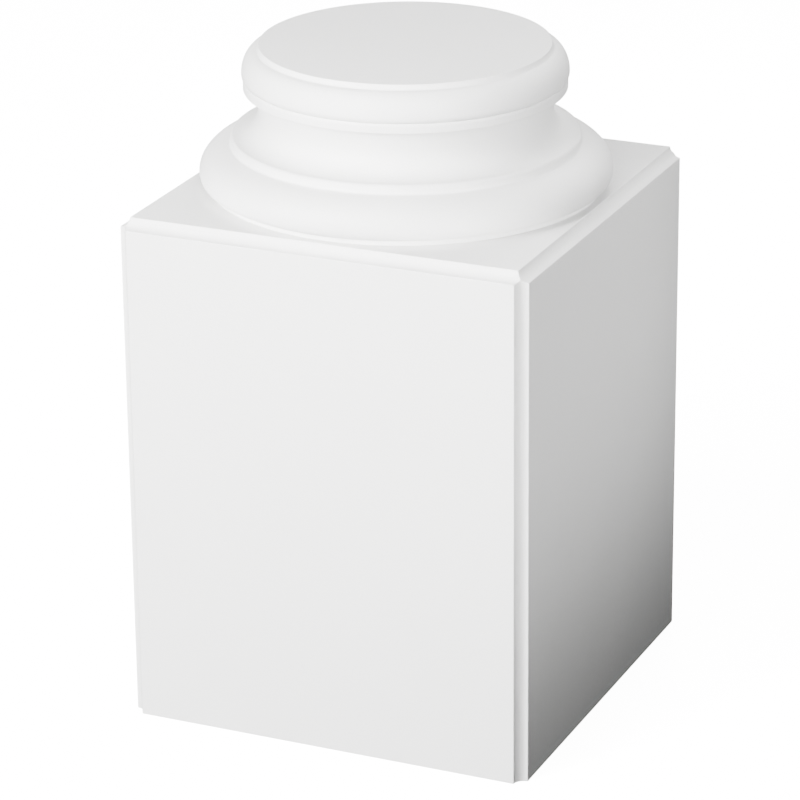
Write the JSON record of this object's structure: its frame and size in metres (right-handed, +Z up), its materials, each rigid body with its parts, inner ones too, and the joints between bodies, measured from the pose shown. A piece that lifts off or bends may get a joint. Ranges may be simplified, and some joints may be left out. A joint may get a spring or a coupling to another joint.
{
  "type": "column base",
  "caption": "Square plinth block with coved arrises carrying a turned Attic base: wide torus, scotia, narrow torus and a flat round seat for a column shaft.",
  "frame": {"origin": "centre of the plinth block's underside, on the surface it stands on", "axes": "+Z up along the axis of the round base and of the column; +X and +Y square to the block's faces"},
  "size_m": [0.3, 0.3, 0.4705],
  "materials": {
    "plinth": "matt white primer on smooth moulded polyurethane, very fine tooth",
    "round_base": "matt white primer on smooth moulded polyurethane, very fine tooth"
  },
  "bodies": {
    "root": {"plinth_block": "plinth", "round_base": "round_base"}
  },
  "joints": []
}
